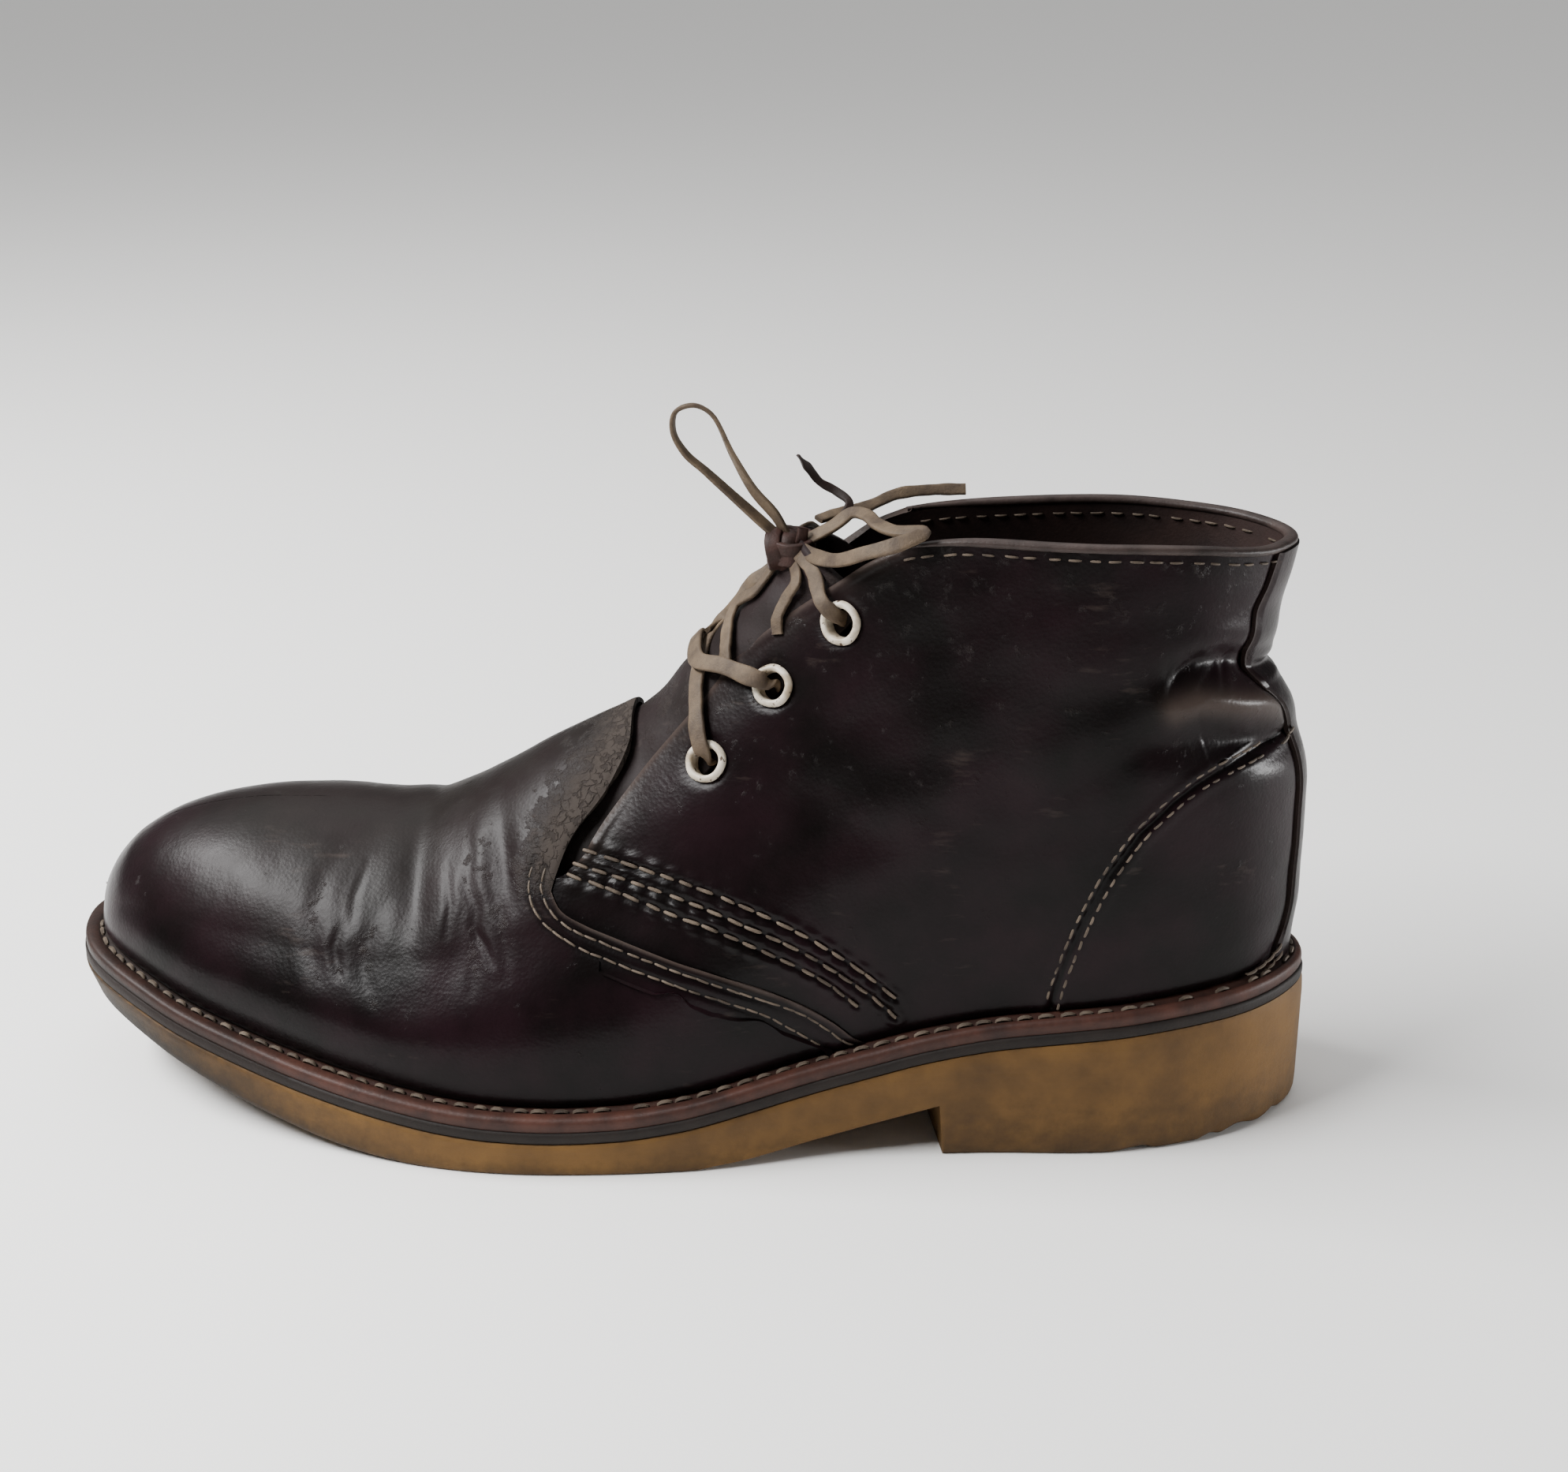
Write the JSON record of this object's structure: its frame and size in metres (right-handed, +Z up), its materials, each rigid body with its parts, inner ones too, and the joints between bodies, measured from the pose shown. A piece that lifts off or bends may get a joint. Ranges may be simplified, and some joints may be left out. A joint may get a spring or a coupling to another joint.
{
  "type": "lace-up ankle work boot",
  "caption": "Left ankle-high lace-up work boot with a plain toe, leather welt, crepe sole with heel, and laces tied in a bow.",
  "frame": {"origin": "middle of the sole's outline, on the floor", "axes": "+X from toe to heel along the boot, +Y to the inner side of the foot, +Z up"},
  "size_m": [0.3061, 0.1158, 0.1713],
  "materials": {
    "crepe_rubber": "matt, worn and scuffed",
    "midsole_rubber": "matt",
    "welt_leather": "worn edge, stitched",
    "insole_leather": "bare, dull",
    "upper_leather": "waxed, creased and scuffed",
    "tongue_leather": "soft, dull",
    "eyelet_metal": "pale enamel, chipped",
    "lace_leather": "rawhide, dull"
  },
  "bodies": {
    "root": {"outsole": "crepe_rubber", "midsole": "midsole_rubber", "welt": "welt_leather", "insole": "insole_leather", "upper": "upper_leather", "tongue": "tongue_leather", "eyelet_lateral_1": "eyelet_metal", "eyelet_lateral_2": "eyelet_metal", "eyelet_lateral_3": "eyelet_metal", "eyelet_medial_1": "eyelet_metal", "eyelet_medial_2": "eyelet_metal", "eyelet_medial_3": "eyelet_metal", "lace_crossing_lower": "lace_leather", "lace_crossing_upper": "lace_leather", "lace_bar_lateral": "lace_leather", "lace_bar_medial": "lace_leather", "lace_knot": "lace_leather", "lace_loop_tall": "lace_leather", "lace_loop_low": "lace_leather", "lace_end_short": "lace_leather", "lace_end_long": "lace_leather"}
  },
  "joints": []
}
